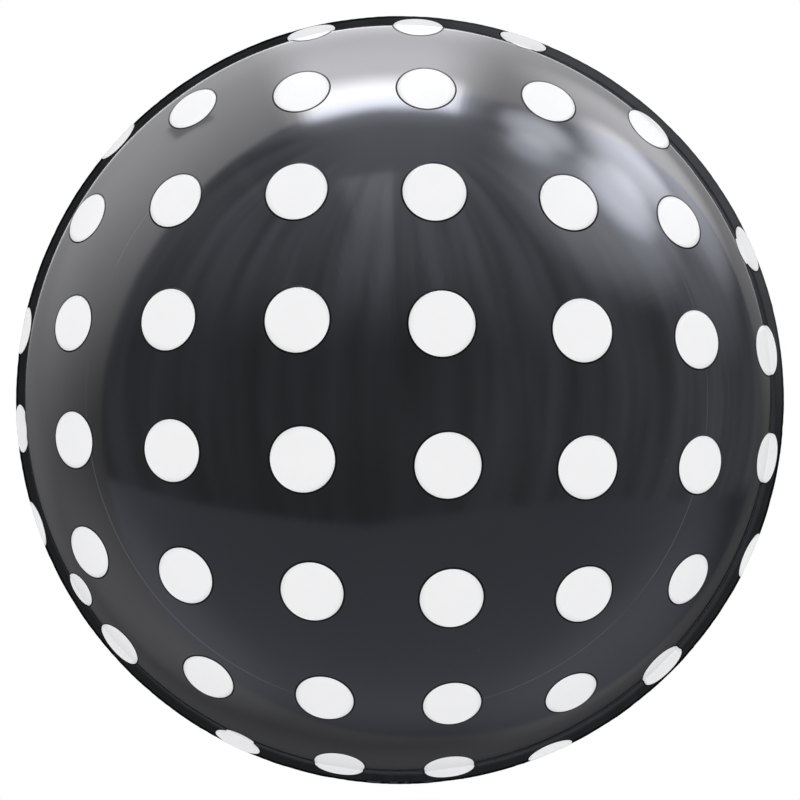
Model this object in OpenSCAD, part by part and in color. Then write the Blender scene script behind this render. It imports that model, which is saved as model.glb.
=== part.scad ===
// Round bubble balloon: two plies of glossy film, blown up to a ball, with a welded rim,
// printed polka dots, an inner filling valve and a flat tail that folds at the neck.
// The origin is the lowest point of the rim, where the neck is tied. The front faces -Y.

/* [Ball] */
// Diameter across the welded rim, the widest size of the balloon
rim_d = 560; // [450:10:650]
// Width of the flat welded rim outside the ball
rim_w = 10; // [6:1:14]
// Wall of one film ply
film_t = 0.6; // [0.6:0.1:1]

/* [Dots] */
// Diameter of one printed dot
dot_d = 43.2; // [30:0.2:50]
// Distance between two dots of one row, measured on the film
dot_pitch_across = 94.9; // [80:0.1:110]
// Distance between two rows of dots, measured on the film
dot_pitch_down = 91.6; // [80:0.1:110]
// Angle by which the rows run down to the right
row_tilt = 2; // [0:0.2:5]
// Angle by which the columns lean to the right as they go down
column_tilt = 2.4; // [0:0.2:5]
// First dot's distance to the right of the middle of the front
first_dot_right = 31; // [0:1:90]
// First dot's distance below the middle of the front
first_dot_down = 42.2; // [0:0.2:90]
// How far the columns spread to the right, growing with the square of the column's number
column_spread = 0.43; // [0:0.01:1]
// How far the rows bow up at the sides, growing in the same way
row_bow = 0.2; // [0:0.01:1]
// How far the rows fan out to the right, for each row and column
row_fan = 0.5; // [0:0.02:1]
// One dot of the front out of step with the rest: its distance to the left of the middle
odd_dot_left = 273; // [260:1:280]
// The same dot's distance below the middle of the front
odd_dot_down = 162; // [150:1:170]
// Diameter of the same dot
odd_dot_d = 31; // [30:1:50]
// Distance from the middle at which the dots would close up altogether, seen from the front
print_r = 282; // [281:0.5:300]
// Thickness of the printed ink
ink_t = 0.3; // [0.3:0.05:0.4]

/* [Tail] */
// Width of the tail
tail_w = 42; // [36:1:50]
// Length of the tail from the fold to its end
tail_l = 95; // [85:1:110]
// Width of the welded strip along each side of the tail
tail_weld_w = 5; // [4:0.5:6]
// Length of the weld that closes the end of the tail
tail_end_weld_l = 20; // [16:1:24]
// Diameter of the hole where a ribbon is tied
ribbon_hole_d = 5; // [4:0.5:6]
// Diameter of the hole where the filling straw goes in
inlet_d = 12; // [8:1:14]
// Angle from hanging straight down to folded flat behind the ball
tail_fold_back = 100; // [0:5:100]

/* [Valve] */
// Width of the valve's two films
valve_w = 30; // [24:1:32]
// Length of the valve tongue inside the ball
tongue_l = 70; // [50:5:75]
// Width of the weld along each side of the tongue
tongue_weld_w = 3; // [2:0.5:4]
// Length of the valve films inside the tail
tail_valve_l = 34; // [25:1:36]
// Angle by which the tongue lies back from upright
tongue_lean = 80; // [0:5:80]

/* [Hidden] */

$fn = 200;
rim_r = rim_d / 2;
ball_r = rim_r - rim_w;
inside_r = ball_r - film_t;
big = 2 * rim_d;
cut = 1;

// The layers from the middle of the rim outwards: coat, valve film, ply, ink.
coat_t = 0.2;
valve_face = coat_t / 2;
ply_face = valve_face + film_t;
rim_face = ply_face + film_t;

// The fold leaves a short free length of film on each side of its line.
fold_gap = 2;
tail_corner_r = 6;
tail_root_w = tail_w + 6;
tail_root_l = 8;
tail_neck_r = 9;
ribbon_hole_z = -(tail_l - tail_end_weld_l / 2);
inlet_z = -(fold_gap + tail_valve_l + inlet_d);
coat_w = valve_w - 2 * tongue_weld_w;
tongue_hinge_z = 14;

// The dots are laid out for an eye this many ball radii in front of the ball's middle.
eye_distance = 8;
// Dots are looked for this many rows and columns either side of the first.
dot_reach = 5;
// Ink that would be narrower than this on the ball or on its rim is left out.
least_ink_w = 3;
// A dot's edge is drawn with this many straight sides, each under 6 mm long.
dot_sides = 24;

film_black = [0.02, 0.02, 0.025];
weld_black = [0.06, 0.06, 0.065];
dot_white = [0.93, 0.93, 0.94];
valve_clear = [0.75, 0.78, 0.8];
coat_grey = [0.55, 0.55, 0.5];

// ---- the ball ----

module at_ball_centre() {
    translate([0, 0, rim_r])
        children();
}

module as_rear() {
    mirror([0, 1, 0])
        children();
}

// Turns a solid that was revolved round Z so that its axis runs from front to back.
module face_front() {
    rotate([90, 0, 0])
        children();
}

// A flat ring round the ball in the rim's plane, from one distance in front of the middle to another.
module rim_ring(inner_r, from, to) {
    face_front()
        translate([0, 0, from])
            difference() {
                cylinder(r = rim_r, h = to - from);
                translate([0, 0, -cut])
                    cylinder(r = inner_r, h = to - from + 2 * cut);
            }
}

module in_front_of(distance) {
    translate([-big / 2, -big - distance, -big / 2])
        cube([big, big, big]);
}

// Half of a ply's cross-section: x runs out from the ball's axis, y forwards from the rim.
module ply_section() {
    difference() {
        union() {
            intersection() {
                circle(r = ball_r);
                translate([0, ply_face])
                    square([big, big]);
            }
            translate([0, ply_face])
                square([rim_r, film_t]);
        }
        circle(r = inside_r);
    }
}

module panel() {
    face_front()
        rotate_extrude()
            ply_section();
}

// The part of the rim that the valve passes through.
module valve_passage() {
    translate([-valve_w / 2, -ply_face - cut, -rim_r - cut])
        cube([valve_w, 2 * (ply_face + cut), 2 * rim_w]);
}

module front_panel() {
    color(film_black)
        at_ball_centre()
            panel();
}

module rear_panel() {
    color(film_black)
        at_ball_centre()
            as_rear()
                panel();
}

module rim_seam() {
    color(weld_black)
        at_ball_centre()
            difference() {
                rim_ring(inside_r, -ply_face, ply_face);
                valve_passage();
            }
}

// ---- the dots ----

// How much larger the front of the ball looks than its rim, which is further from the eye.
front_scale = eye_distance / (eye_distance - 1);
// The eye sees the ball end at this distance from its middle, in front of the rim.
seen_end = ball_r / sqrt(1 - pow(eye_distance, -2));

// How far from the middle the eye sees a point of the print, from its distance on the flat film.
function seen_r(flat) = print_r * sin(flat * front_scale / print_r * 180 / PI);
function flat_r(seen) = print_r * asin(seen / print_r) * PI / 180 / front_scale;
// The ball's angle at which the eye sees a point that far from the middle.
function ball_angle(seen, lean) = asin(min(1, seen / ball_r / norm([1, lean]))) - atan(lean);
// That point's true distance from the ball's axis.
function front_r(seen) = seen < seen_end
    ? ball_r * sin(ball_angle(seen, seen / ball_r / eye_distance))
    : seen;
// A dot's distance on the film, its direction round the front from straight down, and its diameter.
function dot_at(across, down, diameter) = [norm([across, down]), atan2(across, down), diameter];
function near_edge(dot) = dot[0] - dot[2] / 2;
function far_edge(dot) = dot[0] + dot[2] / 2;
function dot_across(i, j) = dot_pitch_across * i * cos(row_tilt)
    + dot_pitch_down * j * sin(column_tilt) + first_dot_right + column_spread * i * i;
function dot_down(i, j) = dot_pitch_across * i * sin(row_tilt)
    + dot_pitch_down * j * cos(column_tilt) + first_dot_down - row_bow * i * i + row_fan * i * j;

ALL_PLACES = [for (i = [-dot_reach:dot_reach], j = [-dot_reach:dot_reach])
    dot_at(dot_across(i, j), dot_down(i, j), dot_d)];
REAR_DOTS = [for (dot = ALL_PLACES) if (near_edge(dot) < flat_r(rim_r - least_ink_w)) dot];
FRONT_DOTS = concat(REAR_DOTS, [dot_at(-odd_dot_left, odd_dot_down, odd_dot_d)]);

module ellipse(width, height) {
    polygon([for (k = [0:dot_sides - 1])
        [width / 2 * cos(k * 360 / dot_sides), height / 2 * sin(k * 360 / dot_sides)]]);
}

// A rod from the rim forwards through one dot: an ellipse, as the dot looks from the front.
module dot_rod(dot) {
    near = front_r(seen_r(near_edge(dot)));
    far = front_r(seen_r(far_edge(dot)));
    width = dot[2] * (near + far) / 2 / dot[0];
    rotate([0, -dot[1], 0])
        translate([0, 0, -(near + far) / 2])
            rotate([90, 0, 0])
                linear_extrude(height = ball_r + cut)
                    ellipse(width, far - near);
}

module ball_ink(places) {
    intersection() {
        difference() {
            sphere(r = ball_r + ink_t);
            sphere(r = ball_r);
        }
        in_front_of(rim_face + 2 * ink_t);
        union() {
            for (dot = places)
                if (near_edge(dot) < flat_r(seen_end) - least_ink_w)
                    dot_rod(dot);
        }
    }
}

module rim_ink(places) {
    intersection() {
        rim_ring(ball_r + 2 * ink_t, rim_face, rim_face + ink_t);
        union() {
            for (dot = places)
                if (far_edge(dot) > flat_r(seen_end) + least_ink_w)
                    dot_rod(dot);
        }
    }
}

// The crease between the ball and its rim has no ink, so each part of a dot is a solid of its own.
module dots(places) {
    ball_ink(places);
    rim_ink(places);
}

module front_dots() {
    color(dot_white)
        at_ball_centre()
            dots(FRONT_DOTS);
}

module rear_dots() {
    color(dot_white)
        at_ball_centre()
            as_rear()
                dots(REAR_DOTS);
}

// ---- the valve where it crosses the rim ----

module neck_valve_film() {
    intersection() {
        rim_ring(inside_r, valve_face, ply_face);
        valve_passage();
    }
}

module neck_valve_front() {
    color(valve_clear)
        at_ball_centre()
            neck_valve_film();
}

module neck_valve_rear() {
    color(valve_clear)
        at_ball_centre()
            as_rear()
                neck_valve_film();
}

module valve_release_coat() {
    color(coat_grey)
        at_ball_centre()
            intersection() {
                rim_ring(inside_r, -valve_face, valve_face);
                translate([-coat_w / 2, -cut, -rim_r - cut])
                    cube([coat_w, 2 * cut, 2 * rim_w]);
            }
}

// ---- the valve tongue inside the ball ----

module at_tongue() {
    translate([0, 0, tongue_hinge_z])
        rotate([-tongue_lean, 0, 0])
            translate([0, 0, fold_gap])
                children();
}

module tongue_film() {
    translate([-valve_w / 2, -ply_face, 0])
        cube([valve_w, film_t, tongue_l]);
}

module tongue_front_film() {
    color(valve_clear)
        at_tongue()
            tongue_film();
}

module tongue_rear_film() {
    color(valve_clear)
        at_tongue()
            as_rear()
                tongue_film();
}

module tongue_side_welds() {
    color(coat_grey)
        at_tongue()
            for (side = [-1, 1])
                translate([side * (valve_w - tongue_weld_w) / 2, 0, tongue_l / 2])
                    cube([tongue_weld_w, coat_t, tongue_l], center = true);
}

// ---- the tail ----

module at_tail() {
    rotate([tail_fold_back, 0, 0])
        children();
}

// The tail's outline as a flat sheet in the rim's plane, hanging straight down.
module tail_outline() {
    straight_l = tail_l - tail_corner_r;
    union() {
        translate([-tail_w / 2, -straight_l])
            square([tail_w, straight_l - fold_gap]);
        translate([-tail_w / 2 + tail_corner_r, -tail_l])
            square([tail_w - 2 * tail_corner_r, tail_corner_r + cut]);
        for (side = [-1, 1])
            translate([side * (tail_w / 2 - tail_corner_r), -straight_l])
                circle(r = tail_corner_r);
        neck_flare();
    }
}

// The tail widens to the rim with a hollow curve on each side.
module neck_flare() {
    difference() {
        translate([-tail_root_w / 2, -tail_root_l])
            square([tail_root_w, tail_root_l - fold_gap]);
        for (side = [-1, 1])
            translate([side * (tail_w / 2 + tail_neck_r), -fold_gap - tail_neck_r])
                circle(r = tail_neck_r);
    }
}

// Stands a flat outline up in the rim's plane, from one distance in front of the middle to another.
module tail_layer(from, to) {
    translate([0, -from, 0])
        rotate([90, 0, 0])
            linear_extrude(height = to - from)
                children();
}

module ribbon_hole() {
    translate([0, ribbon_hole_z])
        circle(d = ribbon_hole_d);
}

module tail_front_ply() {
    color(film_black)
        at_tail()
            tail_layer(ply_face, rim_face)
                difference() {
                    tail_outline();
                    ribbon_hole();
                    translate([0, inlet_z])
                        circle(d = inlet_d);
                }
}

module tail_rear_ply() {
    color(film_black)
        at_tail()
            as_rear()
                tail_layer(ply_face, rim_face)
                    difference() {
                        tail_outline();
                        ribbon_hole();
                    }
}

module tail_side_welds() {
    channel_w = tail_w - 2 * tail_weld_w;
    color(weld_black)
        at_tail()
            tail_layer(-ply_face, ply_face)
                difference() {
                    tail_outline();
                    translate([-channel_w / 2, -tail_l - cut])
                        square([channel_w, tail_l + 2 * cut]);
                    translate([-tail_w, -tail_l - cut])
                        square([2 * tail_w, tail_end_weld_l + cut]);
                }
}

module tail_end_weld() {
    color(weld_black)
        at_tail()
            tail_layer(-ply_face, ply_face)
                difference() {
                    intersection() {
                        tail_outline();
                        translate([-tail_w, -tail_l - cut])
                            square([2 * tail_w, tail_end_weld_l + cut]);
                    }
                    ribbon_hole();
                }
}

module tail_valve_film() {
    translate([-valve_w / 2, -ply_face, -fold_gap - tail_valve_l])
        cube([valve_w, film_t, tail_valve_l]);
}

module tail_valve_front() {
    color(valve_clear)
        at_tail()
            tail_valve_film();
}

module tail_valve_rear() {
    color(valve_clear)
        at_tail()
            as_rear()
                tail_valve_film();
}

front_panel();
rear_panel();
rim_seam();
front_dots();
rear_dots();
neck_valve_front();
neck_valve_rear();
valve_release_coat();
tongue_front_film();
tongue_rear_film();
tongue_side_welds();
tail_front_ply();
tail_rear_ply();
tail_side_welds();
tail_end_weld();
tail_valve_front();
tail_valve_rear();
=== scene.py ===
"""A round bubble balloon: glossy black two-ply film, printed white dots, a welded rim and a folding tail."""

import math

import bmesh
import bpy
import numpy as np
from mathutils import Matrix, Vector
from mathutils.geometry import delaunay_2d_cdt


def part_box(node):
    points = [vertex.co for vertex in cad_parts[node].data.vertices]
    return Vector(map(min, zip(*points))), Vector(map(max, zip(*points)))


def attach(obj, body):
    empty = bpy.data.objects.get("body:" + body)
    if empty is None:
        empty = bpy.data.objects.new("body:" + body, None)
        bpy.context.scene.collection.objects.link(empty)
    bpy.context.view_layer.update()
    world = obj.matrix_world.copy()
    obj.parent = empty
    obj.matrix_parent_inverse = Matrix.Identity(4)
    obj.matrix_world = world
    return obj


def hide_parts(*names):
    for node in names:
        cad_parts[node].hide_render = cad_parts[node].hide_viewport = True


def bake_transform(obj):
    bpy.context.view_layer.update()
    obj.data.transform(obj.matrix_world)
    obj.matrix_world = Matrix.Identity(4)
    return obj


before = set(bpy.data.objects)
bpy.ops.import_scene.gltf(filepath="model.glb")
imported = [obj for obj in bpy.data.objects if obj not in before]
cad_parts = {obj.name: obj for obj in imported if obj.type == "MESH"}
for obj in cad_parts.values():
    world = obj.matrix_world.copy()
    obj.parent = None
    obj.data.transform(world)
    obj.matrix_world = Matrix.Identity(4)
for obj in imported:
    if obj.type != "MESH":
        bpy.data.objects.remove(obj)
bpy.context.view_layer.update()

MM = 0.001

# ---- sizes, from the CAD where it holds them ----

rim_low, rim_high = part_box("rim_seam")
panel_low, panel_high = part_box("front_panel")
RIM_R = (rim_high.x - rim_low.x) / 2
BALL_R = -panel_low.y
CENTRE_Z = (panel_low.z + panel_high.z) / 2

# The print, laid out on the flat film for an eye EYE_DISTANCE ball radii in front of the ball's middle.
EYE_DISTANCE = 8
PRINT_R = 282 * MM
DOT_R = 21.6 * MM
DOT_ACROSS = 94.9 * MM
DOT_DOWN = 91.6 * MM
ROW_TILT = math.radians(2.0)
COLUMN_TILT = math.radians(2.4)
FIRST_DOT = (31 * MM, 42.2 * MM)
COLUMN_SPREAD = 0.43 * MM
ROW_BOW = 0.20 * MM
ROW_FAN = 0.50 * MM
DOT_REACH = 5
# One dot of the front ply is out of step with the rest: its place on the film and its size.
ODD_DOT = (-273 * MM, 162 * MM)
ODD_DOT_R = 15.5 * MM
OUTLINE_W = 1.3 * MM

# The rim's face stands this far from its middle, at the ball and at its free edge.
RIM_FACE = 0.95 * MM
RIM_EDGE_FACE = 0.35 * MM
RIM_BACK = 0.12 * MM
# The film turns from the ball to the rim in a hollow curve of this radius.
FILLET = 4 * MM
FILM_T = 0.3 * MM
WELD_IN = 4.6 * MM
WELD_OUT = 8.6 * MM
WELD_DEPTH = 0.12 * MM

# The thin line that the film's draw leaves round the front: its angle, and how far off centre it is.
DRAW_LINE = math.radians(50.6)
DRAW_SHIFT = 0.018

# The ball is fuller at its upper left and flatter at its lower right, by this much at its edge.
FULLNESS = 2.0 * MM
FULL_TURN = math.radians(-134)
# The film's broad and fine waves, its puckers at the rim and its creases at the neck.
WAVE_H, WAVE_L = 0.10 * MM, 150 * MM
FINE_WAVE_H, FINE_WAVE_L = 0.012 * MM, 34 * MM
PUCKER_H, PUCKER_REACH = 0.16 * MM, 7 * MM
CREASE_H, CREASE_REACH = 0.35 * MM, 26 * MM
# How far the rim's edge waves to the front, and how deep the nicks in it are.
FLUTTER_H = 0.35 * MM
NICK_DEPTH = 0.12 * MM

# The neck is at the bottom. Turns run from the right and down, as seen from the front.
NECK_TURN = math.pi / 2

TURN_STEPS = 840
INK_ROWS = 30
INK_COLUMNS = 11
# The ink reaches this far into the film, and the outlines and dots this far out of it.
INK_DEPTH = 0.05 * MM
OUTLINE_LIFT = 0.05 * MM
DOT_LIFT = 0.09 * MM

# The tail, in the CAD's sizes: x runs across it and s runs from the fold to its end.
TAIL_FOLD = math.radians(100)
TAIL_W = 42 * MM
TAIL_L = 95 * MM
TAIL_START = 2 * MM
TAIL_ROOT_W = 48 * MM
TAIL_CORNER = 6 * MM
TAIL_WELD_W = 5 * MM
TAIL_END_WELD = 20 * MM
TAIL_FACE = 0.45 * MM
TAIL_BACK = 0.14 * MM
TAIL_ROOT_L = 14 * MM
# Welds stay this far inside the plies that they join.
WELD_GAP = 0.01 * MM
RIBBON_HOLE = (85 * MM, 2.5 * MM)
INLET = (48 * MM, 6 * MM)
NECK_BEND_R = 1.2 * MM

# The valve, in the CAD's sizes.
VALVE_W = 30 * MM
VALVE_T = 0.1 * MM
TONGUE_L = 70 * MM
TONGUE_WELD_W = 3 * MM
TONGUE_HINGE_Z = 14 * MM
TONGUE_LEAN = math.radians(80)
TAIL_VALVE_L = 34 * MM
COAT_W = 24 * MM
VALVE_TOP = 10.5 * MM
TONGUE_CORNER = 5 * MM

# The picture is this many times as wide as the rim.
PICTURE_MARGIN = 800 / 768
FLOOR_DROP = 0.45
FLOOR_R = 2.2


# ---- the film's section, and where the print lies on it ----

# Places along the section are given by the way to them from the middle of the front.
FILLET_R = math.sqrt((BALL_R + FILLET) ** 2 - (RIM_FACE + FILLET) ** 2)
FILLET_ANGLE = math.atan2(FILLET_R, RIM_FACE + FILLET)
WAY_FILLET = BALL_R * FILLET_ANGLE
WAY_RIM = WAY_FILLET + FILLET * FILLET_ANGLE
WAY_END = WAY_RIM + RIM_R - FILLET_R

# The eye sees the ball end at SEEN_END, in front of the rim, and sees no print between these two places.
FRONT_SCALE = EYE_DISTANCE / (EYE_DISTANCE - 1)
SEEN_END = BALL_R / math.sqrt(1 - EYE_DISTANCE**-2)
WAY_HIDES = BALL_R * math.acos(1 / EYE_DISTANCE)
WAY_SHOWS = WAY_RIM - FILLET * math.asin((FILLET_R - SEEN_END) / FILLET)


def film_section(way):
    """Distance from the ball's axis, distance in front of the rim, and the outward normal of both."""
    angle = np.minimum(way, WAY_FILLET) / BALL_R
    psi = np.clip(FILLET_ANGLE - (way - WAY_FILLET) / FILLET, 0, FILLET_ANGLE)
    on_ball = way <= WAY_FILLET
    on_rim = way >= WAY_RIM
    tilt = np.where(on_ball, angle, psi)
    radial = np.where(on_ball, BALL_R * np.sin(angle), FILLET_R - FILLET * np.sin(psi))
    depth = np.where(on_ball, BALL_R * np.cos(angle), RIM_FACE + FILLET - FILLET * np.cos(psi))
    radial = np.where(on_rim, FILLET_R + way - WAY_RIM, radial)
    share = np.clip((radial - FILLET_R) / (RIM_R - FILLET_R), 0, 1) * on_rim
    depth = depth - (RIM_FACE - RIM_EDGE_FACE) * share**2
    return radial, depth, np.sin(tilt), np.cos(tilt)


def print_distance(way):
    """How far a place of the section is from the middle on the flat print."""
    angle = np.minimum(way, WAY_HIDES) / BALL_R
    seen = BALL_R * np.sin(angle) / (1 - np.cos(angle) / EYE_DISTANCE)
    seen = np.where(way > WAY_SHOWS, film_section(way)[0], seen)
    return PRINT_R / FRONT_SCALE * np.arcsin(seen / PRINT_R)


def print_way(distance):
    """The inverse of print_distance."""
    ways = np.concatenate([np.linspace(0, WAY_HIDES, 3000), np.linspace(WAY_SHOWS, WAY_END, 300)])
    return np.interp(distance, print_distance(ways), ways)


# ---- small unevenness, always the same ----


def waves(points, length, count, seed):
    """A smooth field of about -1 to 1 with roughly that wavelength, from a few plane waves."""
    random = np.random.default_rng(seed)
    directions = random.normal(size=(count, 3))
    directions /= np.linalg.norm(directions, axis=1)[:, None]
    stretch = random.uniform(0.7, 1.4, count) * 2 * math.pi / length
    phase = random.uniform(0, 2 * math.pi, count)
    return np.sin((points @ directions.T) * stretch + phase).sum(-1) / math.sqrt(count)


def ripples(turn, low, high, count, seed):
    """The same round a circle, with between low and high waves in one turn."""
    random = np.random.default_rng(seed)
    numbers = random.integers(low, high, count)
    phase = random.uniform(0, 2 * math.pi, count)
    return np.sin(turn[..., None] * numbers + phase).sum(-1) / math.sqrt(count)


def bell(distance, width):
    """1 at no distance, falling to nothing over about twice the width."""
    return np.exp(-((distance / width) ** 2))


def smooth(value, low, high):
    """0 below low, 1 above high, and a smooth step between."""
    t = np.clip((value - low) / (high - low), 0, 1)
    return t * t * (3 - 2 * t)


def rim_flutter(radial, turn):
    """How far the flat rim waves to the front, growing to its free edge."""
    share = np.clip((radial - BALL_R) / (RIM_R - BALL_R), 0, 1)
    at_neck = bell((turn - NECK_TURN) * RIM_R, 40 * MM)
    return FLUTTER_H * share * ripples(turn, 18, 70, 9, 5) * (1 - at_neck)


def film_relief(way, turn, radial, depth, side):
    """How far the film stands out from the true ball, and sinks in at the weld."""
    points = np.stack([radial * np.cos(turn), side * depth, radial * np.sin(turn)], -1)
    seed = 20 if side > 0 else 40
    relief = WAVE_H * waves(points, WAVE_L, 7, seed)
    relief += FINE_WAVE_H * waves(points, FINE_WAVE_L, 9, seed + 1)
    to_rim = np.maximum(BALL_R * math.pi / 2 - way, 0)
    near_edge = smooth(way, 0.9 * BALL_R, WAY_HIDES)
    near_edge = near_edge * smooth(to_rim, 0, BALL_R * math.pi / 2 - WAY_HIDES)
    relief += FULLNESS * np.cos(turn - FULL_TURN) * near_edge
    relief += PUCKER_H * ripples(turn, 24, 110, 10, seed + 2) * np.exp(-to_rim / PUCKER_REACH)
    from_neck = np.hypot((turn - NECK_TURN) * BALL_R, to_rim)
    fan = np.cos(9 * np.arctan2((turn - NECK_TURN) * BALL_R, to_rim + 12 * MM))
    relief += CREASE_H * fan * np.exp(-from_neck / CREASE_REACH)
    across = radial - BALL_R
    track = smooth(across, WELD_IN - 0.4 * MM, WELD_IN)
    track = track * (1 - smooth(across, WELD_OUT, WELD_OUT + 0.4 * MM))
    ribs = 0.5 + 0.5 * np.cos(turn * TURN_STEPS / 4)
    at_neck = smooth(VALVE_W / 2 + 1 * MM - np.abs(turn - NECK_TURN) * RIM_R, 0, 2 * MM)
    relief -= WELD_DEPTH * track * (0.55 + 0.45 * ribs) * (1 - at_neck)
    return relief


def film_point(way, turn, lift, side):
    """A point of a ply, lift above its outer surface. side is 1 in front and -1 behind."""
    radial, depth, out, forward = film_section(way)
    height = lift + film_relief(way, turn, radial, depth, side)
    nick = NICK_DEPTH * np.abs(ripples(turn, 40, 160, 7, 9)) * smooth(radial, RIM_R - 2 * MM, RIM_R)
    at = radial + out * height - nick
    on_rim = 1 - smooth(depth, 0.6 * MM, 6 * MM)
    away = depth + forward * height + side * rim_flutter(radial, turn) * on_rim
    return np.stack([at * np.cos(turn), -side * away, CENTRE_Z - at * np.sin(turn)], -1)


# ---- making pieces ----


def make_piece(name, points, faces, body, replaced, materials, face_materials=None):
    """A mesh piece in the row frame that rides on a body and stands for CAD nodes."""
    mesh = bpy.data.meshes.new(name)
    mesh.from_pydata([tuple(p) for p in points], [], faces)
    for material in materials:
        mesh.materials.append(material)
    if face_materials is not None:
        mesh.polygons.foreach_set("material_index", face_materials)
    bm = bmesh.new()
    bm.from_mesh(mesh)
    bmesh.ops.remove_doubles(bm, verts=bm.verts, dist=0.002 * MM)
    bmesh.ops.dissolve_degenerate(bm, edges=bm.edges, dist=0.001 * MM)
    bmesh.ops.recalc_face_normals(bm, faces=bm.faces)
    bm.to_mesh(mesh)
    bm.free()
    mesh.shade_smooth()
    piece = bpy.data.objects.new(name, mesh)
    bpy.context.scene.collection.objects.link(piece)
    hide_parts(*replaced)
    if body:
        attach(piece, body)
    return piece


def ring_faces(rows, columns, first=0):
    """Quads between rows of points that each close round on themselves."""
    faces = []
    for row in range(rows - 1):
        for column in range(columns):
            after = (column + 1) % columns
            low, high = first + row * columns, first + (row + 1) * columns
            faces.append((low + column, low + after, high + after, high + column))
    return faces


def fan_faces(tip, row_start, columns, flip):
    """Triangles from one point to a closed row of points."""
    faces = []
    for column in range(columns):
        after = (column + 1) % columns
        corners = (tip, row_start + column, row_start + after)
        faces.append(corners[::-1] if flip else corners)
    return faces


def film_rows():
    """Where the film's rows of points lie: even on the ball, close together at the fillet and on the rim."""
    ball = np.linspace(0.012 * BALL_R, WAY_FILLET - 3 * MM, 72)
    fillet = np.linspace(ball[-1], WAY_RIM, 12)[1:]
    return np.concatenate([ball, fillet, np.linspace(WAY_RIM, WAY_END, 10)[1:]])


def make_film(name, node, side, film, weld):
    """One ply: the outer surface from its middle to the rim's edge, and the inner surface back."""
    outer = film_rows()
    inner = np.concatenate([np.linspace(WAY_RIM, WAY_FILLET, 4), np.linspace(1.5, 0.1, 14) * BALL_R])
    turn = np.arange(TURN_STEPS) * 2 * math.pi / TURN_STEPS
    rows = [film_point(np.full(TURN_STEPS, way), turn, 0.0, side) for way in outer]
    edge = rows[-1].copy()
    edge[:, 1] += side * (RIM_EDGE_FACE - RIM_BACK)
    rows.append(edge)
    for way in inner:
        rows.append(film_point(np.full(TURN_STEPS, way), turn, -FILM_T, side))
    tips = [(0, -side * BALL_R, CENTRE_Z), (0, -side * (BALL_R - FILM_T), CENTRE_Z)]
    points = np.concatenate(rows + [np.array(tips)])
    last = len(rows) * TURN_STEPS
    faces = fan_faces(last, 0, TURN_STEPS, True)
    faces += ring_faces(len(rows), TURN_STEPS)
    faces += fan_faces(last + 1, last - TURN_STEPS, TURN_STEPS, False)
    weld_from = int((outer < WAY_RIM - 1e-9).sum())
    kinds = [0] * TURN_STEPS
    for row in range(len(rows) - 1):
        kinds += [1 if weld_from <= row <= len(outer) else 0] * TURN_STEPS
    kinds += [0] * TURN_STEPS
    return make_piece(name, points, faces, "envelope", [node], [film, weld], kinds)


# ---- the printed dots ----


def dot_places(side):
    """(right, down, radius) on the flat print of each dot that shows on this ply."""
    end = print_distance(WAY_END - 2 * MM)
    places = []
    for i in range(-DOT_REACH, DOT_REACH + 1):
        for j in range(-DOT_REACH, DOT_REACH + 1):
            right = DOT_ACROSS * i * math.cos(ROW_TILT) + DOT_DOWN * j * math.sin(COLUMN_TILT) + FIRST_DOT[0]
            right += COLUMN_SPREAD * i**2
            down = DOT_ACROSS * i * math.sin(ROW_TILT) + DOT_DOWN * j * math.cos(COLUMN_TILT) + FIRST_DOT[1]
            down += ROW_FAN * i * j - ROW_BOW * i**2
            if math.hypot(right, down) - DOT_R < end:
                places.append((right, down, DOT_R))
    if side > 0:
        places.append((*ODD_DOT, ODD_DOT_R))
    return places


def dot_ways(middle, radius):
    """Where a dot has its rows: some of its own, and the film's so that it bends where the film does."""
    own = print_way(middle - radius * np.cos(np.linspace(0, math.pi, INK_ROWS)))
    own = np.append(own[own < WAY_END - 0.1 * MM], min(own[-1], WAY_END - 0.1 * MM))
    film = np.append(film_rows(), [WAY_HIDES, WAY_SHOWS])
    off_middle = np.abs(print_distance(film) - middle)
    shared = film[(off_middle < 0.93 * radius) & (film < own[-1] - 0.2 * MM)]
    return np.unique(np.concatenate([own, shared]))


def ink_surface(place, radius, lift, side):
    """A grid of points on the film inside one dot: a row for each distance from the film's middle."""
    right, down = place
    middle = math.hypot(right, down)
    ways = dot_ways(middle, radius)[:, None]
    rows = print_distance(ways)
    half_turn = np.arccos(np.clip((rows**2 + middle**2 - radius**2) / (2 * rows * middle), -1, 1))
    turn = math.atan2(down, right) + half_turn * np.linspace(-1, 1, INK_COLUMNS)
    return film_point(ways + 0 * turn, turn % (2 * math.pi), lift, side)


def plate_faces(rows, columns, start):
    """Faces of a closed plate whose outer grid is followed by its inner one."""
    under = rows * columns
    faces = []
    for row in range(rows - 1):
        for column in range(columns - 1):
            a = start + row * columns + column
            quad = (a, a + 1, a + columns + 1, a + columns)
            faces += [quad, tuple(under + k for k in quad[::-1])]
    border = [start + k for k in range(columns)]
    border += [start + (row + 1) * columns - 1 for row in range(1, rows)]
    border += [start + (rows - 1) * columns + k for k in range(columns - 2, -1, -1)]
    border += [start + row * columns for row in range(rows - 2, 0, -1)]
    for a, b in zip(border, border[1:] + border[:1]):
        faces.append((b, a, under + a, under + b))
    return faces


def make_ink(name, side, material, grow, lift, replaced):
    """All the dots of one ply, or their outlines, as thin closed plates that lie on the film."""
    points, faces, start = [], [], 0
    for right, down, radius in dot_places(side):
        top = ink_surface((right, down), radius + grow, lift, side)
        bottom = ink_surface((right, down), radius + grow, -INK_DEPTH, side)
        faces += plate_faces(*top.shape[:2], start)
        points += [top.reshape(-1, 3), bottom.reshape(-1, 3)]
        start += 2 * top.shape[0] * top.shape[1]
    ink = make_piece(name, np.concatenate(points), faces, "envelope", [replaced], [material])
    # The photo shows no dots mirrored in the film beside them.
    ink.visible_glossy = False
    return ink


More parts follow.
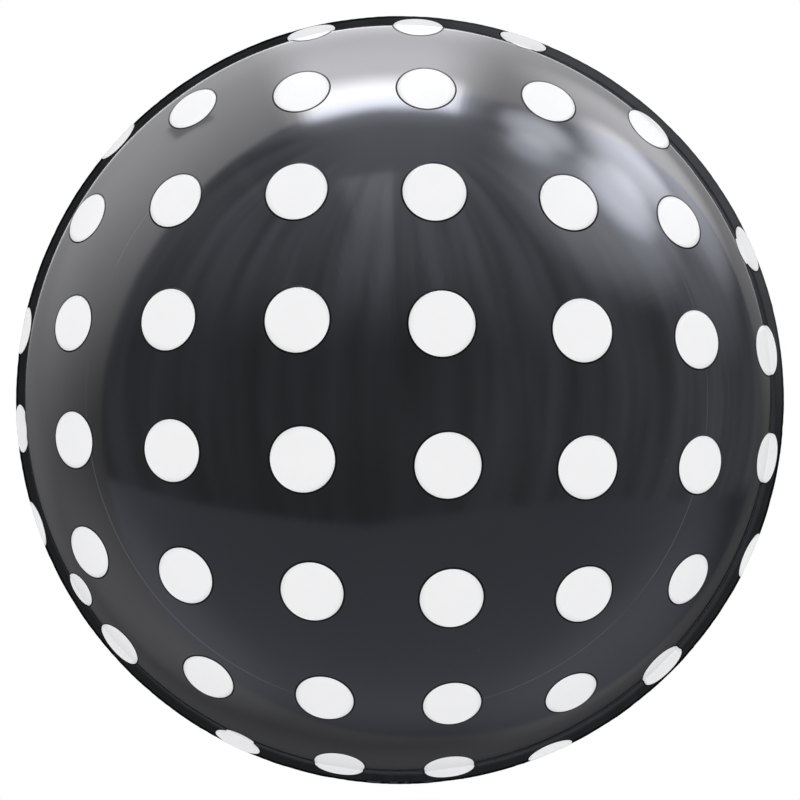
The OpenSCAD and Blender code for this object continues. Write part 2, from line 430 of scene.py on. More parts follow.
# ---- flat sheets: the tail and the valve ----


def inside(point, outline):
    """Is a flat point inside a closed outline?"""
    x, y = point
    found = False
    for (x0, y0), (x1, y1) in zip(outline, outline[1:] + outline[:1]):
        if (y0 > y) != (y1 > y) and x < (x1 - x0) * (y - y0) / (y1 - y0) + x0:
            found = not found
    return found


def circle_points(x, y, radius, steps):
    """A circle's outline in that many steps."""
    turns = [2 * math.pi * k / steps for k in range(steps)]
    return [(x + radius * math.cos(turn), y + radius * math.sin(turn)) for turn in turns]


def corner_points(x, y, radius):
    """A quarter circle round (x, y), from its right to its top, in eight steps."""
    turns = [k / 8 * math.pi / 2 for k in range(9)]
    return [(x + radius * math.cos(turn), y + radius * math.sin(turn)) for turn in turns]


def resample(outline, spacing):
    """The same closed outline with points no further apart than spacing."""
    points = []
    for (x0, y0), (x1, y1) in zip(outline, outline[1:] + outline[:1]):
        pieces = max(1, math.ceil(math.hypot(x1 - x0, y1 - y0) / spacing))
        points += [(x0 + (x1 - x0) * k / pieces, y0 + (y1 - y0) * k / pieces) for k in range(pieces)]
    return points


def far_from(point, loops, distance):
    """Is a point further than distance from every point of every loop?"""
    return all(math.hypot(point[0] - x, point[1] - y) > distance for loop in loops for x, y in loop)


def sheet_mesh(outline, holes, spacing, front, back, place):
    """Points and faces of a thin closed sheet.

    front and back give the depths of its two faces, and place puts it in the row frame.
    """
    loops = [resample(loop, spacing) for loop in [outline] + holes]
    flat, edges = [], []
    for loop in loops:
        start = len(flat)
        flat += loop
        edges += [(start + k, start + (k + 1) % len(loop)) for k in range(len(loop))]
    xs = [x for x, _ in outline]
    ys = [y for _, y in outline]
    for column, x in enumerate(np.arange(min(xs), max(xs), spacing)):
        shift = spacing / 2 if column % 2 else 0.0
        for y in np.arange(min(ys) + shift, max(ys), spacing):
            point = (float(x), float(y))
            in_hole = any(inside(point, hole) for hole in holes)
            if inside(point, outline) and not in_hole and far_from(point, loops, 0.55 * spacing):
                flat.append(point)
    found = delaunay_2d_cdt([Vector(p) for p in flat], edges, [], 1, 1e-7)
    corners = np.array([tuple(v) for v in found[0]])
    triangles = []
    for face in found[2]:
        middle = tuple(corners[list(face)].mean(0))
        if inside(middle, outline) and not any(inside(middle, hole) for hole in holes):
            triangles.append(tuple(face))
    count = len(corners)
    across, along = corners[:, 0], corners[:, 1]
    points = np.concatenate([place(across, along, face(across, along)) for face in (front, back)])
    faces = list(triangles) + [tuple(count + k for k in face[::-1]) for face in triangles]
    used = dict.fromkeys((face[k], face[(k + 1) % 3]) for face in triangles for k in range(3))
    for a, b in used:
        if (b, a) not in used:
            faces.append((b, a, count + a, count + b))
    return points, faces


def flat_at(depth):
    """A sheet's face at one depth."""
    return lambda across, along: np.full(len(across), depth)


def rim_rise(across, along):
    """The rim curves up on both sides of the neck, and the tail's root follows it."""
    rise = RIM_R - np.sqrt(RIM_R**2 - across**2)
    return rise * (1 - smooth(along, TAIL_START, TAIL_START + TAIL_ROOT_L))


def place_tail(across, along, depth):
    """Tail sizes into the row frame, folded back behind the ball."""
    y = -depth
    z = -along
    cos, sin = math.cos(TAIL_FOLD), math.sin(TAIL_FOLD)
    return np.stack([across, y * cos - z * sin, y * sin + z * cos + rim_rise(across, along)], -1)


def place_tongue(across, along, depth):
    """Tongue sizes into the row frame, leaning back inside the ball."""
    cos, sin = math.cos(TONGUE_LEAN), math.sin(TONGUE_LEAN)
    y = -depth
    return np.stack([across, y * cos + along * sin, TONGUE_HINGE_Z - y * sin + along * cos], -1)


def place_rim(across, along, depth):
    """Sizes at the neck: along runs up from the rim's lowest point."""
    return np.stack([across, -depth, along], -1)


NECK_REACH = NECK_BEND_R * math.tan(TAIL_FOLD / 2)


def place_neck(across, along, depth):
    """The film that bends through the fold: along runs down the rim, round the bend and down the tail."""
    share = np.clip((along + NECK_REACH) / (2 * NECK_REACH), 0, 1)
    turn = share * TAIL_FOLD
    y = NECK_BEND_R * (1 - np.cos(turn))
    z = NECK_REACH - NECK_BEND_R * np.sin(turn)
    z = z + np.maximum(-along - NECK_REACH, 0)
    past = np.maximum(along - NECK_REACH, 0)
    y = y + past * math.sin(TAIL_FOLD)
    z = z - past * math.cos(TAIL_FOLD) + rim_rise(across, along)
    return np.stack([across, y - depth * np.cos(turn), z - depth * np.sin(turn)], -1)


def rectangle(half_width, start, end):
    """A rectangle's outline, from start to end along the sheet."""
    return [(-half_width, start), (half_width, start), (half_width, end), (-half_width, end)]


def weld_strip(sign, inner, outer, end):
    """The outline of a weld along one side of a sheet, which is the right side when sign is 1."""
    corners = [(inner, TAIL_START), (outer, TAIL_START), (outer, end), (inner, end)]
    return [(sign * x, s) for x, s in corners][::sign]


def tail_outline():
    """The tail's edge: a hollow flare at the neck, straight sides and two round corners."""
    side = TAIL_W / 2
    flare_r = 9 * MM
    right = [(TAIL_ROOT_W / 2, TAIL_START)]
    for k in range(1, 9):
        turn = math.pi * 1.5 - k / 9 * math.pi / 2
        x = side + flare_r + flare_r * math.cos(turn)
        if side <= x < TAIL_ROOT_W / 2:
            right.append((x, TAIL_START + flare_r + flare_r * math.sin(turn)))
    right.append((side, TAIL_START + flare_r))
    right += corner_points(side - TAIL_CORNER, TAIL_L - TAIL_CORNER, TAIL_CORNER)
    return right + [(-x, s) for x, s in right[::-1]]


def tail_relief(across, along, seed):
    """A tail ply's height over the weld: a loose channel, small creases and a ring round each hole."""
    flat = np.stack([across, along, np.full(len(across), seed * MM)], -1)
    channel = TAIL_W / 2 - TAIL_WELD_W
    end = TAIL_L - TAIL_END_WELD
    loose = smooth(channel - np.abs(across), 0, 3 * MM)
    loose *= smooth(along, 3 * MM, 9 * MM) * (1 - smooth(along, end - 3 * MM, end))
    relief = loose * (0.28 * MM + 0.12 * MM * waves(flat, 17 * MM, 7, seed))
    relief += 0.05 * MM * waves(flat, 7 * MM, 9, seed + 1)
    weld = (1 - smooth(channel - np.abs(across), -0.6 * MM, 0)) + smooth(along, end, end + 1 * MM)
    ribs = np.cos(along * 2 * math.pi / (3.2 * MM))
    relief -= 0.05 * MM * np.clip(weld, 0, 1) * ribs
    for start, radius in (RIBBON_HOLE, INLET):
        ring = np.hypot(across, along - start) - radius
        relief += 0.10 * MM * bell(ring - 1.2 * MM, 0.8 * MM)
    return relief


def make_sheet(name, body, replaced, material, outline, holes, spacing, front, back, place):
    """A flat sheet with holes as one piece."""
    points, faces = sheet_mesh(outline, holes, spacing, front, back, place)
    return make_piece(name, points, faces, body, replaced, [material])


def make_tail(film, weld, clear):
    """The tail's plies, welds and valve films."""
    ribbon = circle_points(0, *RIBBON_HOLE, 28)
    inlet = circle_points(0, *INLET, 40)
    outline = tail_outline()
    make_sheet("tail_front_film", "tail", ["tail_front_ply"], film, outline, [ribbon, inlet],
               1.6 * MM, lambda x, s: TAIL_FACE + tail_relief(x, s, 3), flat_at(TAIL_BACK), place_tail)
    make_sheet("tail_rear_film", "tail", ["tail_rear_ply"], film, outline, [ribbon],
               1.6 * MM, flat_at(-TAIL_BACK), lambda x, s: -TAIL_FACE - tail_relief(x, s, 8), place_tail)
    side, channel = TAIL_W / 2 - 0.1 * MM, TAIL_W / 2 - TAIL_WELD_W
    weld_start = TAIL_L - TAIL_END_WELD
    weld_t = TAIL_BACK - WELD_GAP
    for name, sign in (("left", -1), ("right", 1)):
        strip = weld_strip(sign, channel, side, weld_start)
        make_sheet(f"tail_weld_{name}", "tail", ["tail_side_welds"], weld, strip, [],
                   4 * MM, flat_at(weld_t), flat_at(-weld_t), place_tail)
    end = [(x, s) for x, s in outline if s > TAIL_L - TAIL_CORNER - 1e-6]
    end = [(TAIL_W / 2, weld_start)] + end + [(-TAIL_W / 2, weld_start)]
    end = [(x * 0.995, s) for x, s in end]
    make_sheet("tail_end_seal", "tail", ["tail_end_weld"], weld, end, [ribbon],
               4 * MM, flat_at(weld_t), flat_at(-weld_t), place_tail)
    valve = rectangle(VALVE_W / 2, TAIL_START, TAIL_START + TAIL_VALVE_L)
    near, far = 0.02 * MM, 0.02 * MM + VALVE_T
    for node, front, back in (("tail_valve_front", far, near), ("tail_valve_rear", -near, -far)):
        make_sheet(f"{node}_film", "tail", [node], clear, valve, [],
                   3 * MM, flat_at(front), flat_at(back), place_tail)


def neck_face(across, crease_l):
    """The neck's face, just over the tail's, with soft creases along it."""
    return TAIL_FACE + 0.06 * MM + 0.05 * MM * np.cos(across * 2 * math.pi / crease_l)


def make_neck(film):
    """The film at the fold, bent through the same angle as the tail."""
    half, narrow = TAIL_ROOT_W / 2, TAIL_ROOT_W / 2 - 0.5 * MM
    start, end = -2.5 * MM, 4 * MM
    outline = [(-half, start), (half, start), (narrow, end), (-narrow, end)]
    points, faces = sheet_mesh(outline, [], 0.9 * MM, lambda x, s: neck_face(x, 6.5 * MM),
                               lambda x, s: -neck_face(x, 7.5 * MM), place_neck)
    neck = make_piece("neck_fold", points, faces, None, ["tail_front_ply"], [film])
    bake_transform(neck)


def tongue_wave(across, along):
    """The tongue isn't quite flat."""
    flat = np.stack([across, along, 0 * across], -1)
    return 0.35 * MM * waves(flat, 45 * MM, 5, 77) * smooth(along, 4 * MM, 25 * MM)


def waved_at(depth):
    """A face of the tongue at one depth."""
    return lambda across, along: depth + tongue_wave(across, along)


def make_neck_valve(clear, coat):
    """The valve's films and their coat where they cross the rim."""
    near, far = WELD_GAP, WELD_GAP + VALVE_T
    valve = rectangle(VALVE_W / 2, 0.9 * MM, VALVE_TOP)
    coated = rectangle(COAT_W / 2, 1 * MM, VALVE_TOP - 1 * MM)
    for node, front, back in (("neck_valve_front", far, near), ("neck_valve_rear", -near, -far)):
        make_sheet(f"{node}_film", "envelope", [node], clear, valve, [],
                   3 * MM, flat_at(front), flat_at(back), place_rim)
    make_sheet("release_coat", "envelope", ["valve_release_coat"], coat, coated, [],
               3 * MM, flat_at(near), flat_at(-near), place_rim)


def make_tongue(clear, fused):
    """The valve's two films inside the ball, and the welds along their sides."""
    near = WELD_GAP
    half = VALVE_W / 2
    corner = corner_points(half - TONGUE_CORNER, TONGUE_L + TAIL_START - TONGUE_CORNER, TONGUE_CORNER)
    tongue = [(-half, TAIL_START), (half, TAIL_START)] + corner
    tongue += [(-x, s) for x, s in tongue[:1:-1]]
    for name, sign in (("tongue_front", 1), ("tongue_rear", -1)):
        low, high = sorted((sign * near, sign * (near + VALVE_T)))
        make_sheet(name, "valve_tongue", [f"{name}_film"], clear, tongue, [],
                   2.5 * MM, waved_at(high), waved_at(low), place_tongue)
    side, end = half - 0.05 * MM, TONGUE_L - 4 * MM
    for name, sign in (("left", -1), ("right", 1)):
        strip = weld_strip(sign, half - TONGUE_WELD_W, side, end)
        make_sheet(f"tongue_weld_{name}", "valve_tongue", ["tongue_side_welds"], fused,
                   strip, [], 2.5 * MM, waved_at(near), waved_at(-near), place_tongue)


def make_rim_seal(weld):
    """The fused layer between the plies, with a gap where the valve passes."""
    steps = 720
    gap = VALVE_W / RIM_R
    turn = np.arange(steps + 1) / steps * (2 * math.pi - gap) + NECK_TURN + gap / 2
    turn = turn % (2 * math.pi)
    half = RIM_BACK - WELD_GAP
    near, far = BALL_R - 0.2 * MM, RIM_R - 0.7 * MM
    corners = [(near, half), (far, half), (far, -half), (near, -half)]
    rows = []
    for radius, depth in corners:
        away = depth + rim_flutter(np.full(len(turn), radius), turn)
        rows.append(np.stack([radius * np.cos(turn), -away, CENTRE_Z - radius * np.sin(turn)], -1))
    count = len(turn)
    faces = []
    for row in range(4):
        low, high = row * count, (row + 1) % 4 * count
        for k in range(count - 1):
            faces.append((low + k, low + k + 1, high + k + 1, high + k))
    faces.append(tuple(row * count for row in range(4)))
    faces.append(tuple(row * count + count - 1 for row in (3, 2, 1, 0)))
    make_piece("rim_seal", np.concatenate(rows), faces, "envelope", ["rim_seam"], [weld])


# ---- materials ----


class Shader:
    """A material's or world's nodes, with short ways to add and join them."""

    def __init__(self, owner):
        owner.use_nodes = True
        self.tree = owner.node_tree
        self.tree.nodes.clear()

    def add(self, kind, **settings):
        """A new node."""
        node = self.tree.nodes.new(kind)
        for name, value in settings.items():
            setattr(node, name, value)
        return node

    def feed(self, socket, value):
        """Joins a socket, or sets a plain value."""
        if isinstance(value, bpy.types.NodeSocket):
            self.tree.links.new(value, socket)
        else:
            socket.default_value = value

    def math(self, operation, first, second=0.0):
        """One step of arithmetic."""
        node = self.add("ShaderNodeMath", operation=operation)
        for socket, value in zip(node.inputs, (first, second)):
            self.feed(socket, value)
        return node.outputs[0]

    def total(self, *values):
        """The sum of any number of values."""
        result = values[0]
        for value in values[1:]:
            result = self.math("ADD", result, value)
        return result

    def product(self, *values):
        """The product of any number of values."""
        result = values[0]
        for value in values[1:]:
            result = self.math("MULTIPLY", result, value)
        return result

    def ease(self, value, low, high, start=0.0, end=1.0):
        """start where value is at low, end at high, and a smooth step between."""
        node = self.add("ShaderNodeMapRange", interpolation_type="SMOOTHSTEP")
        for socket, given in zip(node.inputs, (value, low, high, start, end)):
            self.feed(socket, given)
        return node.outputs[0]

    def window(self, value, rise, full, fall, end):
        """1 where value is between full and fall, and 0 below rise and above end."""
        return self.product(self.ease(value, rise, full), self.ease(value, end, fall))

    def along(self, direction, axis):
        """How far a direction reaches along an axis."""
        node = self.add("ShaderNodeVectorMath", operation="DOT_PRODUCT")
        self.feed(node.inputs[0], direction)
        node.inputs[1].default_value = axis
        return node.outputs["Value"]

    def toward(self, direction, axis):
        """How closely a direction agrees with an axis of any length."""
        return self.along(direction, Vector(axis).normalized())

    def mix(self, share, first, second):
        """The first colour at share 0 and the second at share 1."""
        node = self.add("ShaderNodeMix", data_type="RGBA")
        self.feed(node.inputs["Factor"], share)
        for socket, colour in zip(node.inputs[6:8], (first, second)):
            self.feed(socket, (*colour, 1) if isinstance(colour, tuple) else colour)
        return node.outputs[2]

    def noise(self, vector, scale, detail=3.0, roughness=0.5):
        """Soft noise of about 0.3 to 0.7."""
        node = self.add("ShaderNodeTexNoise")
        settings = {"Vector": vector, "Scale": scale, "Detail": detail, "Roughness": roughness}
        for name, value in settings.items():
            self.feed(node.inputs[name], value)
        return node.outputs[0]

    def bump(self, height, distance, strength=1.0, under=None):
        """A surface direction that follows a height, on top of another if one is given."""
        node = self.add("ShaderNodeBump")
        for name, value in (("Height", height), ("Distance", distance), ("Strength", strength)):
            self.feed(node.inputs[name], value)
        if under is not None:
            self.feed(node.inputs["Normal"], under)
        return node.outputs[0]

    def stretched(self, vector, scale):
        """The same coordinates, scaled along each axis."""
        node = self.add("ShaderNodeMapping")
        self.feed(node.inputs["Vector"], vector)
        node.inputs["Scale"].default_value = scale
        return node.outputs[0]


class Finish(Shader):
    """A material's nodes, which end in one principled surface."""

    def __init__(self, name):
        self.material = bpy.data.materials.new(name)
        super().__init__(self.material)
        self.surface = self.add("ShaderNodeBsdfPrincipled")
        output = self.add("ShaderNodeOutputMaterial")
        self.feed(output.inputs["Surface"], self.surface.outputs[0])
        self.place = self.add("ShaderNodeTexCoord").outputs["Object"]

    def set(self, name, value):
        """Joins or sets one input of the surface."""
        self.feed(self.surface.inputs[name], value)

    def colour(self, share, first, second):
        """The base colour runs between two colours."""
        self.set("Base Color", self.mix(share, first, second))

    def roughness(self, noise, low, high):
        """The roughness follows a noise between two values."""
        self.set("Roughness", self.ease(noise, 0.3, 0.7, low, high))


def from_centre(shader, place):
    """The parts of the direction from the ball's middle."""
    move = shader.add("ShaderNodeVectorMath", operation="SUBTRACT")
    shader.feed(move.inputs[0], place)
    move.inputs[1].default_value = (0, 0, CENTRE_Z)
    unit = shader.add("ShaderNodeVectorMath", operation="NORMALIZE")
    shader.feed(unit.inputs[0], move.outputs[0])
    parts = shader.add("ShaderNodeSeparateXYZ")
    shader.feed(parts.inputs[0], unit.outputs[0])
    return parts.outputs


def round_the_front(shader, parts):
    """Angle round the balloon's front-to-back axis, for streaks that run out from its middle."""
    return shader.math("ARCTAN2", parts[2], parts[0])


def draw_line(shader, place, parts):
    """The thin patchy line that the film's draw leaves round the front, which fades out near the top."""
    from_middle = shader.math("ARCCOSINE", shader.math("ABSOLUTE", parts[1]))
    from_middle = shader.total(from_middle, shader.product(parts[0], DRAW_SHIFT))
    off_line = shader.math("ABSOLUTE", shader.math("SUBTRACT", from_middle, DRAW_LINE))
    patchy = shader.ease(shader.noise(place, 9.0, 2.0), 0.42, 0.62)
    return shader.product(shader.ease(off_line, 0.0026, 0.0006), patchy, shader.ease(parts[2], 0.60, 0.45))


def dust_specks(shader, place):
    """A few tiny specks of dust."""
    dust = shader.add("ShaderNodeTexVoronoi")
    shader.feed(dust.inputs["Vector"], place)
    dust.inputs["Scale"].default_value = 34.0
    return shader.ease(dust.outputs["Distance"], 0.016, 0.008)


def draw_streaks(shader, parts):
    """Faint streaks that run out from the middle, along the film's draw."""
    at = shader.add("ShaderNodeCombineXYZ")
    shader.feed(at.inputs[0], shader.product(round_the_front(shader, parts), 26.0))
    shader.feed(at.inputs[1], shader.product(shader.math("ABSOLUTE", parts[1]), 1.5))
    return shader.noise(at.outputs[0], 1.0, 2.0)


def film_material():
    """Stretched glossy film: faint haze, streaks, fine grain, the draw line and a little dust."""
    shader = Finish("stretched_black_film")
    place = shader.place
    parts = from_centre(shader, place)
    haze = shader.noise(place, 7.0, 4.0)
    streaks = draw_streaks(shader, parts)
    line = draw_line(shader, place, parts)
    specks = dust_specks(shader, place)
    marks = shader.math("MAXIMUM", shader.product(line, 0.7), shader.product(specks, 0.8))
    colour = shader.mix(haze, (0.0055, 0.0056, 0.0066), (0.0115, 0.0115, 0.0130))
    shader.colour(marks, colour, (0.075, 0.077, 0.08))
    rough = shader.total(shader.ease(haze, 0.3, 0.7, 0.06, 0.10), shader.product(streaks, 0.03))
    shader.set("Roughness", rough)
    normal = shader.bump(shader.noise(place, 1400.0, 2.0), 0.004 * MM, 0.5)
    normal = shader.bump(streaks, 0.05 * MM, 0.5, normal)
    shader.set("Normal", shader.bump(line, 0.05 * MM, 1.0, normal))
    shader.set("IOR", 1.5)
    return shader.material


def weld_material():
    """The heat-sealed rim: darker than the ball, dull at both edges, with fine ribs across it and a painted
    sheen at its upper right.
    """
    shader = Finish("heat_sealed_rim")
    place = shader.place
    in_plane = shader.add("ShaderNodeVectorMath", operation="MULTIPLY_ADD")
    shader.feed(in_plane.inputs[0], place)
    in_plane.inputs[1].default_value = (1, 0, 1)
    in_plane.inputs[2].default_value = (0, 0, -CENTRE_Z)
    length = shader.add("ShaderNodeVectorMath", operation="LENGTH")
    shader.feed(length.inputs[0], in_plane.outputs[0])
    across = shader.math("SUBTRACT", length.outputs["Value"], BALL_R)
    gloss = shader.window(across, 3.2 * MM, 4.4 * MM, 8.0 * MM, 8.7 * MM)
    shader.set("Specular IOR Level", shader.ease(gloss, 0.0, 1.0, 0.04, 0.55))
    turn = round_the_front(shader, from_centre(shader, place))
    ribs = shader.math("SINE", shader.product(turn, 1500.0))
    mottle = shader.noise(place, 60.0)
    # Painted sheen: the rim's colour turns pale grey toward its upper right, where the light from above
    # falls on it.
    paler = shader.ease(shader.toward(in_plane.outputs[0], (0.70, 0, 0.71)), 0.6 * BALL_R, 1.0 * BALL_R)
    colour = shader.mix(mottle, (0.002, 0.002, 0.0023), (0.004, 0.004, 0.0045))
    shader.colour(paler, colour, (0.045, 0.046, 0.050))
    shader.roughness(mottle, 0.24, 0.42)
    normal = shader.bump(ribs, 0.01 * MM, 0.6)
    normal = shader.bump(shader.noise(place, 240.0, 2.0), 0.05 * MM, 0.5, normal)
    shader.set("Normal", normal)
    shader.set("IOR", 1.45)
    return shader.material


def ink_material():
    """Printed white ink: nearly even, with a faint mottle and a fine print grain."""
    shader = Finish("white_ink")
    place = shader.place
    grain = shader.noise(place, 900.0, 2.0)
    shader.colour(shader.noise(place, 45.0, 4.0), (0.88, 0.88, 0.89), (0.91, 0.91, 0.92))
    shader.roughness(grain, 0.40, 0.50)
    shader.set("Normal", shader.bump(grain, 0.006 * MM, 0.4))
    shader.set("Specular IOR Level", 0.12)
    return shader.material


def outline_material():
    """The thin black line round each dot, duller than the film."""
    shader = Finish("black_ink")
    grain = shader.noise(shader.place, 700.0, 2.0)
    shader.colour(grain, (0.002, 0.002, 0.002), (0.005, 0.005, 0.005))
    shader.roughness(grain, 0.45, 0.6)
    shader.set("Specular IOR Level", 0.12)
    return shader.material


def tail_material():
    """Unstretched film of the tail: glossy, with small crossing creases."""
    shader = Finish("tail_film")
    place = shader.place
    creases = shader.noise(shader.stretched(place, (1.0, 0.35, 1.0)), 160.0, 3.0, 0.6)
    haze = shader.noise(place, 30.0)
    shader.colour(haze, (0.007, 0.007, 0.008), (0.014, 0.014, 0.016))
    shader.roughness(haze, 0.10, 0.2)
    shader.set("Normal", shader.bump(creases, 0.25 * MM, 0.5))
    shader.set("IOR", 1.5)
    return shader.material


def clear_material():
    """The valve's thin milky film."""
    shader = Finish("valve_film")
    haze = shader.noise(shader.place, 80.0)
    shader.colour(haze, (0.70, 0.74, 0.78), (0.84, 0.86, 0.88))
    shader.roughness(haze, 0.15, 0.3)
    shader.set("Normal", shader.bump(haze, 0.1 * MM, 0.4))
    shader.set("IOR", 1.5)
    return shader.material


def fused_material():
    """The welds of the valve: film gone milky from the heat."""
    shader = Finish("valve_weld")
    haze = shader.noise(shader.place, 300.0)
    shader.colour(haze, (0.50, 0.53, 0.56), (0.68, 0.70, 0.72))
    shader.roughness(haze, 0.4, 0.6)
    return shader.material


def coat_material():
    """The dull coat that keeps the valve open under the heat seal."""
    shader = Finish("release_coat")
    speckle = shader.noise(shader.place, 900.0, 2.0)
    shader.colour(speckle, (0.52, 0.50, 0.42), (0.68, 0.66, 0.58))
    shader.roughness(speckle, 0.7, 0.9)
    return shader.material


# ---- light, floor and camera ----


# Round lights, placed for the photo's highlights: amount, direction, reach in degrees.
RIGHT_GLOW = (
    (2.1, (0.70, 0.03, 0.71), 28),
    (4.9, (0.72, 0.20, 0.67), 12),
    (3.6, (0.62, 0.45, 0.63), 13),
    (3.8, (0.44, 0.22, 0.87), 9),
    (2.4, (0.46, 0.07, 0.89), 7),
    (1.15, (0.55, 0.64, 0.54), 22),
    (0.45, (0.75, 0.45, 0.48), 26),
)
FAINT_GLOWS = (
    (0.28, (-0.79, 0.46, 0.40), 32),
    (0.27, (-0.69, 0.42, -0.59), 30),
    (0.20, (0.56, 0.50, -0.66), 30),
)


def soft_spot(shader, direction, axis, reach):
    """A round light that fades evenly from its middle to nothing at reach degrees."""
    return shader.ease(shader.toward(direction, axis), math.cos(math.radians(reach)), 1.0)


def paler_half(shader, direction, x, z):
    """The paler half of the room, which starts at a sloping edge beside and above the balloon."""
    slope = shader.along(direction, (-0.225, 0.961, 0.16))
    farther = shader.product(shader.ease(x, 0.0, 0.7), shader.ease(z, 0.9, 0.3), -0.30)
    return shader.ease(shader.total(slope, farther), 0.375, 0.415)


def room_floor(shader, direction):
    """The floor, which meets the wall ahead in a corner a little left of the camera."""
    right_edge = shader.along(direction, (-0.13, -0.13, 1))
    left_edge = shader.along(direction, (0.05, -0.31, 1))
    right = shader.ease(right_edge, -0.465, -0.50)
    left = shader.ease(left_edge, -0.351, -0.391)
    return shader.math("MAXIMUM", right, left)


def curtain_folds(shader, x, y, z):
    """The curtain's uneven brightness. Its folds end below the ceiling."""
    turn = shader.math("ARCTAN2", x, shader.product(y, -1.0))
    at = shader.add("ShaderNodeCombineXYZ")
    shader.feed(at.inputs[0], shader.product(turn, 7.0))
    shader.feed(at.inputs[1], shader.product(z, 0.6))
    depth = shader.ease(shader.noise(at.outputs[0], 1.0, 4.0, 0.6), 0.3, 0.7, -0.45, 0.45)
    return shader.total(1.0, shader.product(depth, shader.ease(z, 0.975, 0.90)))


def lights_ahead(shader, x, y, z, ahead, wall, floor, folds):
    """The curtained wall, the ceiling above it and the floor, on the camera's side."""
    middle = shader.window(x, -0.5, -0.1, 0.1, 0.5)
    return [
        (0.076, ahead),
        (0.16, wall, shader.ease(y, 0.9, 0.3)),
        (0.07, wall, shader.ease(z, -0.5, -0.1)),
        (0.19, wall, shader.ease(x, 0.1, 0.6), shader.ease(y, 0.6, 0.2)),
        (0.50, ahead, folds, shader.ease(z, 0.2, 0.75)),
        (0.64, ahead, folds, shader.ease(z, 0.3, 0.95), middle),
        (0.46, floor, shader.ease(y, 0.75, 0.15)),
        (0.06, ahead, shader.ease(z, -0.6, -1.0), shader.ease(y, 0.75, 0.15)),
    ]


def lights_behind(shader, x, y, z, behind):
    """The paler half of the room, brightest overhead and at the left."""
    return [
        (0.02, behind),
        (0.45, behind, shader.ease(z, 0.3, 0.95), shader.ease(y, 0.9, 0.3)),
        (0.41, behind, shader.ease(x, 0.0, -0.9), shader.ease(z, -0.7, 0.0)),
        (0.15, behind, shader.ease(z, -0.1, -0.8)),
        (0.27, behind, shader.ease(z, -0.1, -0.8), shader.ease(y, 0.7, 0.4)),
        (0.09, behind, shader.ease(x, 0.1, 0.5)),
        (0.13, behind, shader.ease(x, 0.0, -0.3), shader.ease(z, 0.0, 0.5), shader.ease(y, 0.75, 0.42)),
        # The pale line round the ball's upper edge.
        (1.4, shader.ease(y, 0.94, 0.98), shader.ease(z, -0.02, 0.14)),
    ]


def lights_overhead(shader, direction, x, y, z, ahead, behind):
    """A softbox that runs across the balloon, its glow, and panels and strips beside it."""
    slant = shader.math("DIVIDE", x, shader.math("MAXIMUM", z, 0.05))
    overhead = shader.ease(z, 0.0, 0.05)
    box = shader.product(overhead, shader.window(slant, -0.37, -0.28, 0.175, 0.235))
    glow = shader.product(overhead, shader.window(slant, -0.45, -0.24, 0.08, 0.34))
    beside = shader.product(overhead, shader.window(slant, -0.9, -0.25, 0.20, 0.26))
    strip = shader.product(overhead, shader.window(slant, -0.73, -0.71, -0.67, -0.65))
    pale_panel = shader.product(overhead, shader.window(slant, -0.32, -0.22, -0.06, 0.02),
                                shader.window(y, -0.70, -0.36, -0.34, -0.30))
    # A dark panel hangs high on the left.
    panel = shader.product(shader.window(slant, -0.88, -0.85, -0.68, -0.65),
                           shader.ease(shader.along(direction, (1.045, 1, 0)), 0.0, 0.03),
                           shader.ease(shader.toward(direction, (0.894, 0.317, 0.315)), 0.0, -0.02))
    around_panel = shader.ease(panel, 0.0, 1.0, 1.0, 0.25)
    return [
        (0.5, glow, shader.ease(y, 0.0, 0.06)),
        (3.2, glow, shader.window(y, 0.10, 0.18, 0.30, 0.85)),
        (9.0, box, shader.window(y, 0.09, 0.20, 0.27, 0.46)),
        (0.08, ahead, strip, shader.window(y, -0.35, -0.2, 0.1, 0.2)),
        (0.10, behind, beside, shader.ease(z, 0.2, 0.8)),
        (1.46, behind, around_panel, shader.ease(z, -0.1, 0.9)),
        (0.9, pale_panel),
    ]


def reflected_studio(shader, direction):
    """What the gloss reflects, and how much of it is the wall and the floor ahead.

    Each light is an amount and the masks that bound it.
    """
    parts = shader.add("ShaderNodeSeparateXYZ")
    shader.feed(parts.inputs[0], direction)
    x, y, z = parts.outputs
    behind = paler_half(shader, direction, x, z)
    ahead = shader.math("SUBTRACT", 1.0, behind)
    floor_share = room_floor(shader, direction)
    folds = curtain_folds(shader, x, y, z)
    wall = shader.product(ahead, shader.math("SUBTRACT", 1.0, floor_share), folds)
    floor = shader.product(ahead, floor_share)
    lights = lights_ahead(shader, x, y, z, ahead, wall, floor, folds)
    lights += lights_behind(shader, x, y, z, behind)
    lights += lights_overhead(shader, direction, x, y, z, ahead, behind)
    for amount, axis, reach in RIGHT_GLOW + FAINT_GLOWS:
        lights.append((amount, soft_spot(shader, direction, axis, reach)))
    return shader.total(*[shader.product(*light) for light in lights]), wall, floor


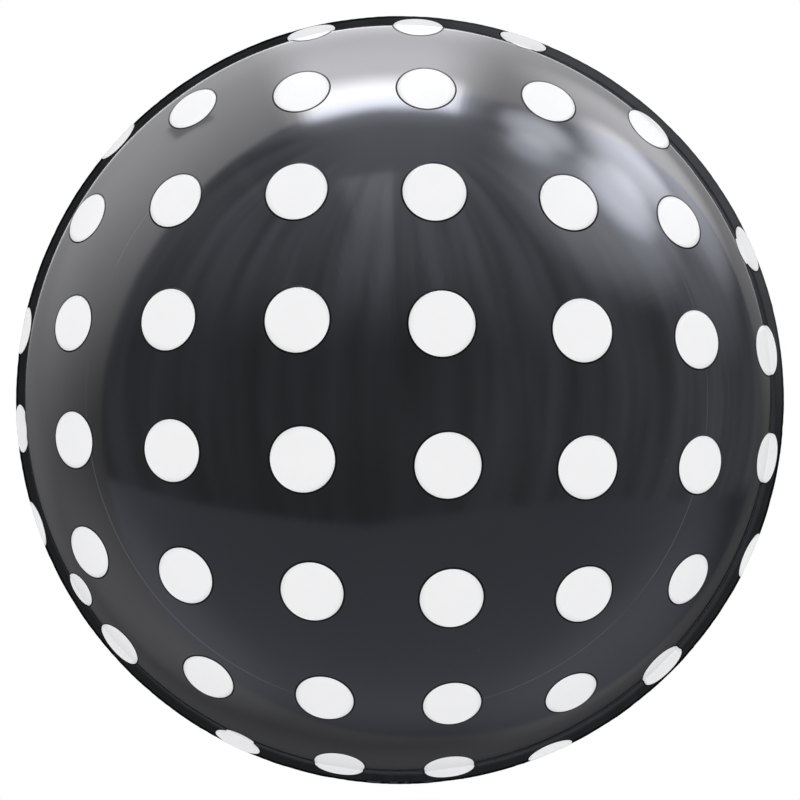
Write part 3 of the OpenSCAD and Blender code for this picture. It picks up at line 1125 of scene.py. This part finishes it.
def make_world():
    """White for the eye and for matt surfaces, and a studio with lights for what reflects."""
    world = bpy.data.worlds.new("studio")
    bpy.context.scene.world = world
    world.cycles.sampling_method = "NONE"
    shader = Shader(world)
    direction = shader.add("ShaderNodeTexCoord").outputs["Generated"]
    light, wall, floor = reflected_studio(shader, direction)
    studio = shader.add("ShaderNodeBackground")
    tint = shader.mix(wall, (0.99, 0.985, 1.03), (0.96, 1.0, 1.14))
    shader.feed(studio.inputs["Color"], shader.mix(floor, tint, (0.92, 0.98, 1.15)))
    shader.feed(studio.inputs["Strength"], light)
    plain = shader.add("ShaderNodeBackground")
    plain.inputs["Color"].default_value = (1.0, 1.0, 1.0, 1)
    plain.inputs["Strength"].default_value = 1.0
    rays = shader.add("ShaderNodeLightPath")
    both = shader.add("ShaderNodeMixShader")
    shader.feed(both.inputs[0], rays.outputs["Is Glossy Ray"])
    shader.feed(both.inputs[1], plain.outputs[0])
    shader.feed(both.inputs[2], studio.outputs[0])
    output = shader.add("ShaderNodeOutputWorld")
    shader.feed(output.inputs["Surface"], both.outputs[0])


def make_floor():
    """A plain pale floor well below the balloon."""
    rim = [(x, y, -FLOOR_DROP) for x, y in circle_points(0, 0, FLOOR_R, 96)]
    mesh = bpy.data.meshes.new("floor")
    mesh.from_pydata(rim, [], [tuple(range(len(rim)))])
    floor = bpy.data.objects.new("floor", mesh)
    shader = Finish("pale_floor")
    shader.colour(shader.noise(shader.place, 8.0), (0.93, 0.93, 0.93), (0.96, 0.96, 0.96))
    shader.set("Roughness", 0.9)
    shader.set("Specular IOR Level", 0.0)
    mesh.materials.append(shader.material)
    bpy.context.scene.collection.objects.link(floor)
    floor.visible_glossy = False


def make_camera():
    """The camera looks level at the ball's middle, from the eye that the print is laid out for."""
    distance = EYE_DISTANCE * BALL_R
    picture_width = 2 * RIM_R * PICTURE_MARGIN
    data = bpy.data.cameras.new("camera")
    data.sensor_width = 36
    data.lens = data.sensor_width * distance / picture_width
    camera = bpy.data.objects.new("camera", data)
    camera.location = (0, -distance, CENTRE_Z)
    camera.rotation_euler = (math.pi / 2, 0, 0)
    bpy.context.scene.collection.objects.link(camera)
    bpy.context.scene.camera = camera


# ---- the balloon ----

make_camera()
make_world()
make_floor()
bpy.context.scene.view_settings.view_transform = "Standard"

film = film_material()
weld = weld_material()
white = ink_material()
black = outline_material()
tail_film = tail_material()
clear = clear_material()

for name, side in (("front", 1), ("rear", -1)):
    ply = make_film(f"{name}_film", f"{name}_panel", side, film, weld)
    # The photo's rim dots are evenly white, so the film casts no shade on them.
    ply.visible_diffuse = False
    make_ink(f"{name}_dot_outlines", side, black, OUTLINE_W, OUTLINE_LIFT, f"{name}_dots")
    make_ink(f"{name}_printed_dots", side, white, 0.0, DOT_LIFT, f"{name}_dots")
make_rim_seal(weld)
make_tail(tail_film, weld, clear)
make_neck(tail_film)
make_neck_valve(clear, coat_material())
make_tongue(clear, fused_material())

bpy.context.view_layer.update()
